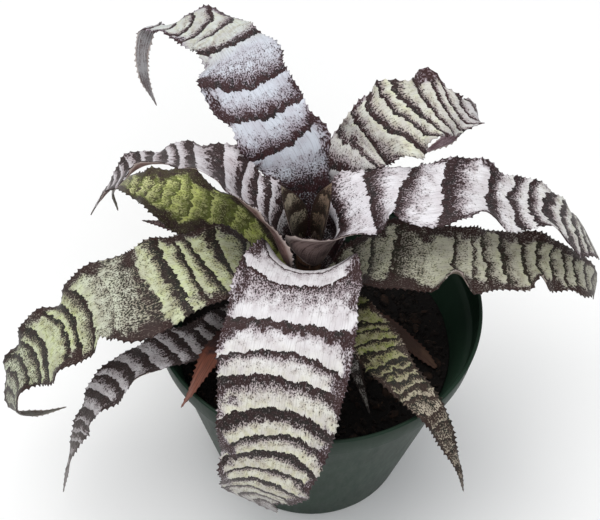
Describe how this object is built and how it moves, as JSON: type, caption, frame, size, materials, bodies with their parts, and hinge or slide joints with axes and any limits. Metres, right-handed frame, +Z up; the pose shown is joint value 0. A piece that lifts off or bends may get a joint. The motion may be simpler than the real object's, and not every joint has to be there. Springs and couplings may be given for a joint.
{
  "type": "potted earth star plant",
  "caption": "Earth star in a round tapered nursery pot: a loose rosette of arching, wavy, spiny-edged leaves with silver and dark cross bands, on a short stem in dark soil.",
  "frame": {"origin": "centre of the pot's flat underside, which stands on the ground at z = 0", "axes": "+Z up, the broad front leaf hangs towards -Y, and +X is to the right seen from the front"},
  "size_m": [0.206, 0.1603, 0.1567],
  "materials": {
    "pot_plastic": "dark green moulded plastic, satin",
    "soil_mix": "near-black peat and bark, rough",
    "stem_bark": "dull brown, ringed by old leaf bases",
    "leaf_silver": "silver scurf in cross bands over dark maroon brown",
    "leaf_green": "yellow-green with dark cross bands",
    "leaf_dry": "dry, tan to orange brown"
  },
  "bodies": {
    "root": {"pot": "pot_plastic", "soil": "soil_mix", "stem": "stem_bark", "leaf_front": "leaf_silver", "leaf_back": "leaf_silver", "leaf_left_upper": "leaf_silver", "leaf_left_green": "leaf_green", "leaf_left": "leaf_silver", "leaf_left_lower": "leaf_silver", "leaf_left_hidden": "leaf_silver", "leaf_right_back": "leaf_silver", "leaf_right": "leaf_silver", "leaf_right_lower": "leaf_green", "leaf_front_right": "leaf_green", "leaf_front_tip": "leaf_silver", "leaf_dry_tip": "leaf_dry", "leaf_fallen": "leaf_dry", "leaf_young_1": "leaf_silver", "leaf_young_2": "leaf_silver", "leaf_young_3": "leaf_green", "leaf_young_4": "leaf_green"}
  },
  "joints": []
}
